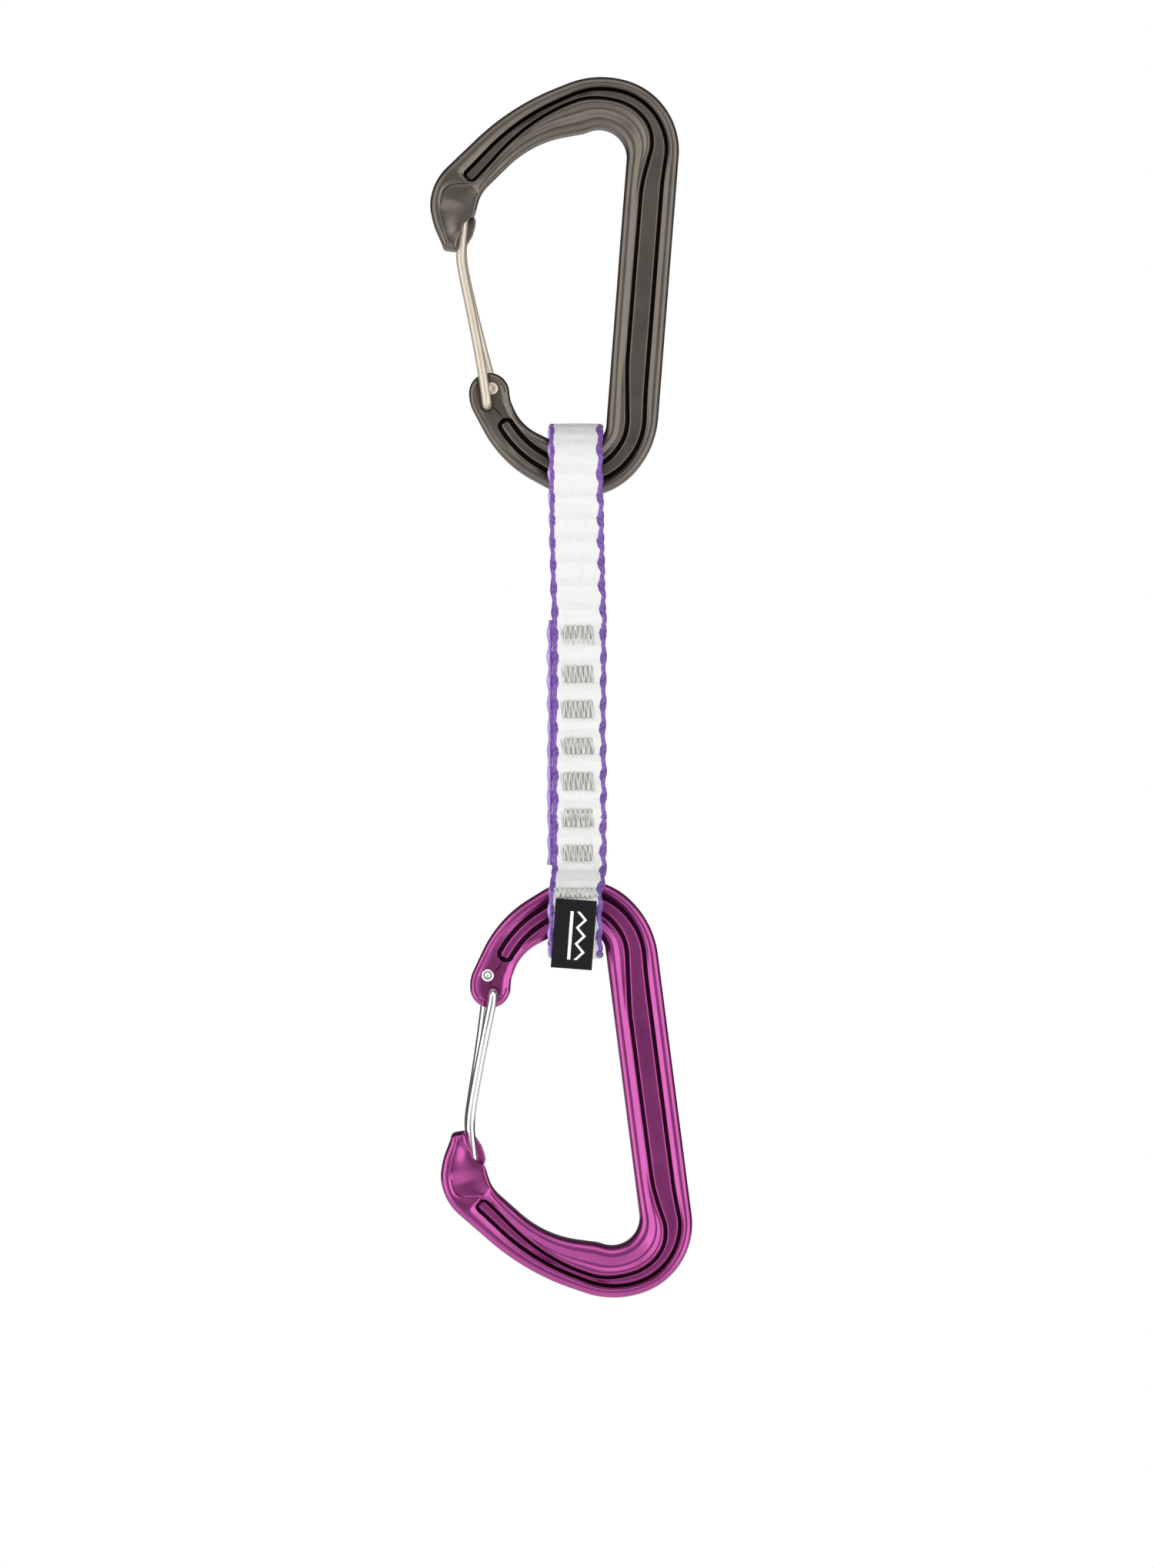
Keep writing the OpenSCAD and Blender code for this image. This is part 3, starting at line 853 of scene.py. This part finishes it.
sling_piece("sling_upper_loop", tape_mesh("upper_loop", upper_line, seed=1, outward=-1),
            "tape_upper_loop", "upper_loop", "dogbone", start=bend_from, end=bend_to)
sling_piece("sling_front_ply",
            tape_mesh("front_ply", straight(-ply_y, upper_seam_z, lower_seam_z), seed=2,
                      outward=-1), "tape_front_ply", "dogbone")
sling_piece("sling_back_ply",
            tape_mesh("back_ply", straight(ply_y, upper_seam_z, lower_seam_z), seed=3, shift=-0.9),
            "tape_back_ply", "dogbone")
sling_piece("sling_tail",
            tape_mesh("tail", straight(0, tail_top_z, tail_end_z), seed=4, shift=-1.05,
                      start=2.1, quilt=False),
            "tape_tail", "dogbone", "lower_loop", start=twist_from, end=twist_to)
sling_piece("sling_lower_loop", tape_mesh("lower_loop", lower_line, seed=5, start=3.2),
            "tape_lower_loop", "dogbone", "lower_loop", start=twist_from, end=twist_to)


# ---- Bar tacks ----
# Seven dense zigzags of grey polyester thread hold the three plies together. Each is sewn by
# a machine through the whole stack, so it shows on both faces, and the tape puffs up between.

thread_radius, stitch_pitch, tack_y = 0.23, 1.1, 2.42


def zigzag(centre_x, centre_z, half_width, half_height, y, way, seed, offset=0.0):
    """A zigzag's points, each stroke bowed out over the tape and pulled in at its ends."""
    chance, points = random.Random(seed), []
    strokes = int(2 * half_width / (stitch_pitch / 2))
    for k in range(strokes):
        x0 = centre_x - half_width + (k + offset) * stitch_pitch / 2
        x1 = x0 + stitch_pitch / 2
        lean, long = chance.uniform(-0.1, 0.1), chance.uniform(0.88, 1.12)
        ends = (-1, 1) if k % 2 else (1, -1)
        for t in (0, 0.07, 0.2, 0.4, 0.6, 0.8, 0.93):
            rise = math.sin(math.pi * t) ** 0.4
            z = centre_z + half_height * long * (ends[0] + (ends[1] - ends[0]) * t)
            sway = 0.1 * math.sin(2 * math.pi * t) * (1 if k % 2 else -1)
            points.append((x0 + (x1 - x0) * t + lean * math.sin(math.pi * t) + sway,
                           y + way * (0.34 * rise - 0.22), z))
    return points


def stitch_bed(z, y):
    """The close underthreads which the zigzag is laid over, painted dark as shade between its
    strokes.
    """
    bm = bmesh.new()
    bmesh.ops.create_cube(bm, size=1, matrix=Matrix.Translation(Vector((tack_x, y, z)) * mm)
                          @ Matrix.Diagonal((6.9 * mm, 0.3 * mm, 3.7 * mm, 1)))
    bmesh.ops.bevel(bm, geom=bm.edges[:], offset=0.15 * mm, offset_type="OFFSET", segments=2,
                    profile=0.5, affect="EDGES", material=-1)
    return finished(bm, "stitch_bed")


def bar_tack(number, z):
    parts = []
    for way in (-1, 1):
        y = way * tack_y
        parts.append(stitch_bed(z, y - 0.12 * way))
        seed = number * 10 + (5 if way > 0 else 0)
        parts.append(round_bar("thread", zigzag(
            tack_x, z, tack_half_width - 0.1, tack_half_height, y, way, seed), thread_radius, 1))
    return joined(f"bar_tack_{number}", *parts)


def near_stack(finish, place):
    """Where the thread's shade is painted: 1 over the stacked plies and 0 over the lower loop,
    where the tack bulges forward.
    """
    return ((finish.z(place) * 1000 + 165.5) * 2).clamped()


def spun_thread(name, dark, light):
    """Twisted thread with a slight shine, each strand a little different, with shade painted where
    it lies low against the tape.
    """
    finish = Finish(name)
    place = finish.place()
    strands = finish.noise(finish.scaled(place, (2600, 2600, 420)), 1, 3, 0.65)
    fuzz = finish.noise(place, 5200, 2)
    # Painted shade: nearly black within 2.5 mm of the middle, where the thread lies low against the
    # tape and on the bed of underthreads
    low_thread_shade = ((2.5 - abs(finish.y(place) * 1000)) * 9).clamped() * near_stack(finish, place)
    spun = finish.colour(((strands - 0.5) * 2.2 + 0.5).clamped(), dark, light)
    return finish.done(
        base_color=finish.colour(low_thread_shade, spun, (0.07, 0.068, 0.06)),
        roughness=0.5 + (fuzz - 0.5) * 0.2, normal=finish.bump(fuzz, 0.05, 0.5), sheen_weight=0.2)


thread = spun_thread("thread", (0.26, 0.26, 0.235), (0.6, 0.6, 0.56))
for number, height in enumerate(tack_heights, 1):
    tack = show(f"bar_tack_{number}_thread", bar_tack(number, height),
                None if number > 5 else "dogbone", f"bar_tack_{number}", finish=thread)
    if number > 5:
        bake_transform(tack)


# ---- Label ----
# A narrow black woven label, sewn to the front of the lower loop by a short zigzag across its
# top and left to hang a little askew. A plain white bar and zigzag are woven into it.

label_width, label_height, label_thick, label_lean = 9.15, 15.4, 0.42, math.radians(4.3)
label_top = Vector((-6.15, 0, -171.9))
label_y, label_tack_z = -9.32, -170.4


def label_mesh(name):
    rows, across = 30, 18
    ring = [(k / across * 2 - 1, 1) for k in range(across + 1)]
    ring += [(k / across * 2 - 1, -1) for k in reversed(range(across + 1))]

    def place(row, column):
        a, side = ring[column % len(ring)]
        down = row / rows * label_height
        edge = 1 - 0.25 * (abs(a) > 0.99)
        curl = 0.16 * math.sin(down / 3.1 + a * 1.1) + 0.22 * a * a
        y = label_y - label_thick / 2 - 0.32 * smooth(down / 4) - curl * 0.6 * down / label_height
        y -= side * label_thick / 2 * edge
        x = a * label_width / 2
        return (label_top.x + x * math.cos(label_lean) - down * math.sin(label_lean), y,
                label_top.z - x * math.sin(label_lean) - down * math.cos(label_lean))

    def mapped(row, column):
        a, side = ring[column % len(ring)]
        return (a * label_width / 2 + (0 if side > 0 else back_face), -row / rows * label_height)

    return surface(name, rows, len(ring), place, uv=mapped)


def woven_label(name):
    finish = Finish(name)
    u, v = finish.own_map()
    fuzz = finish.noise(finish.place(), 2600, 3, 0.7)
    rough_u, rough_v = u + (fuzz - 0.5) * 0.12, v + (fuzz - 0.5) * 0.12

    def band(value, low, high):
        return ((value - low) * 12).clamped() * ((high - value) * 12).clamped()

    peaks = abs(((rough_v + 13.4) % 3.6) - 1.8)
    mark = band(rough_v, -13.4, -2.6) * band(rough_u, -1.1, -0.35)
    mark = mark + band(rough_v, -13.4, -2.6) * band(rough_u + peaks * 0.95, 2.0, 2.75)
    mark = mark.clamped()
    threads = (u * (2 * math.pi / 0.34)).sine() * 0.5 + (v * (2 * math.pi / 0.3)).sine() * 0.5
    black = finish.colour((fuzz * 0.7 + threads * 0.15).clamped(), (0.003, 0.003, 0.004),
                          (0.01, 0.01, 0.012))
    return finish.done(base_color=finish.colour(mark, black, (0.82, 0.82, 0.82)),
                       roughness=0.85, normal=finish.bump(threads + fuzz, 0.05, 0.5),
                       specular_ior_level=0.2)


label = show("woven_label", label_mesh("label"), "lower_loop", "label",
             finish=woven_label("label"), sharp=70)

ring_here = math.sqrt((lower_ring_r + tape_half_thick) ** 2 - (label_tack_z - lower_ring_z) ** 2)
parts = []
for layer, offset in enumerate((0, 0.5)):
    points = zigzag(-6.1, label_tack_z, 4.9, 1.0, -ring_here - 0.16, -1, 70 + layer, offset)
    points = [(x, y - (label_tack_z - z) * 0.42, z) for x, y, z in points]
    parts.append(round_bar("thread", points, thread_radius, 1))
label_stitch = show("label_tack_thread", joined("label_tack", *parts), "lower_loop",
                    "label_tack", finish=thread)


# ---- Floor, light and camera ----
# A pale floor in a plain white studio, large soft lights, and a long lens level with the
# middle of the hanging draw.

frame_height, camera_distance = 350.2, 1700


def stage_plane(name, size, place, turn):
    bm = bmesh.new()
    bmesh.ops.create_grid(bm, x_segments=1, y_segments=1, size=size / 2)
    bmesh.ops.rotate(bm, verts=bm.verts, matrix=Matrix.Rotation(turn, 3, "X"))
    bmesh.ops.translate(bm, verts=bm.verts, vec=place)
    plane = linked(name, finished(bm, name))
    finish = Finish(name)
    grain = finish.noise(finish.place(), 40)
    plane.data.materials.append(finish.done(
        base_color=finish.colour(grain, (0.93, 0.93, 0.93), (0.97, 0.97, 0.97)), roughness=0.9,
        emission_color=(1, 1, 1, 1), emission_strength=0.62))


stage_plane("floor", 8, (0, 0, -0.9), 0)

# The camera sees plain white behind the draw, and the metal reflects a dim room round its sides
world = bpy.data.worlds.new("studio")
world.use_nodes = True
tree = world.node_tree
tree.nodes.clear()
looking = tree.nodes.new("ShaderNodeTexCoord")
parts = tree.nodes.new("ShaderNodeSeparateXYZ")
front = tree.nodes.new("ShaderNodeMapRange")
front.inputs["From Min"].default_value, front.inputs["From Max"].default_value = 0.25, -0.95
front.inputs["To Min"].default_value, front.inputs["To Max"].default_value = 0.1, 0.62
gap = tree.nodes.new("ShaderNodeMapRange")
gap.inputs["From Min"].default_value, gap.inputs["From Max"].default_value = -0.97, -0.992
gap.inputs["To Min"].default_value, gap.inputs["To Max"].default_value = 1, 0.35
dimmed = tree.nodes.new("ShaderNodeMath")
dimmed.operation = "MULTIPLY"
path = tree.nodes.new("ShaderNodeLightPath")
seen = tree.nodes.new("ShaderNodeMix")
seen.inputs["B"].default_value = 1
backdrop = tree.nodes.new("ShaderNodeBackground")
out = tree.nodes.new("ShaderNodeOutputWorld")
for a, b in ((looking.outputs["Generated"], parts.inputs[0]), (parts.outputs["Y"], front.inputs[0]),
             (parts.outputs["Y"], gap.inputs[0]), (front.outputs[0], dimmed.inputs[0]),
             (gap.outputs[0], dimmed.inputs[1]), (dimmed.outputs[0], seen.inputs["A"]),
             (path.outputs["Is Camera Ray"], seen.inputs[0]),
             (seen.outputs[0], backdrop.inputs["Strength"]),
             (backdrop.outputs[0], out.inputs[0])):
    tree.links.new(a, b)
backdrop.inputs["Color"].default_value = (1, 1, 1, 1)
bpy.context.scene.world = world
bpy.context.scene.view_settings.view_transform = "Standard"


def soft_light(name, size, power, place, aim):
    data = bpy.data.lights.new(name, "AREA")
    data.shape, data.size, data.size_y, data.energy = "RECTANGLE", *size, power
    lamp = linked(name, data)
    lamp.location = place
    lamp.rotation_euler = (Vector(aim) - Vector(place)).to_track_quat("-Z", "Y").to_euler()


middle_of_draw = (-0.006, 0, -0.125)
soft_light("left", (1.0, 1.5), 10, (-0.95, -0.75, -0.05), middle_of_draw)
soft_light("right", (1.0, 1.5), 10, (0.95, -0.75, -0.1), middle_of_draw)
soft_light("above", (1.2, 0.7), 5, (0, -0.75, 0.85), middle_of_draw)

camera_data = bpy.data.cameras.new("camera")
camera_data.sensor_width = 36
camera_data.lens = 36 * camera_distance / frame_height
camera = linked("camera", camera_data)
camera.location = Vector((-6.01, -camera_distance, -146.22)) * mm
camera.rotation_euler = (math.pi / 2, 0, 0)
bpy.context.scene.camera = camera
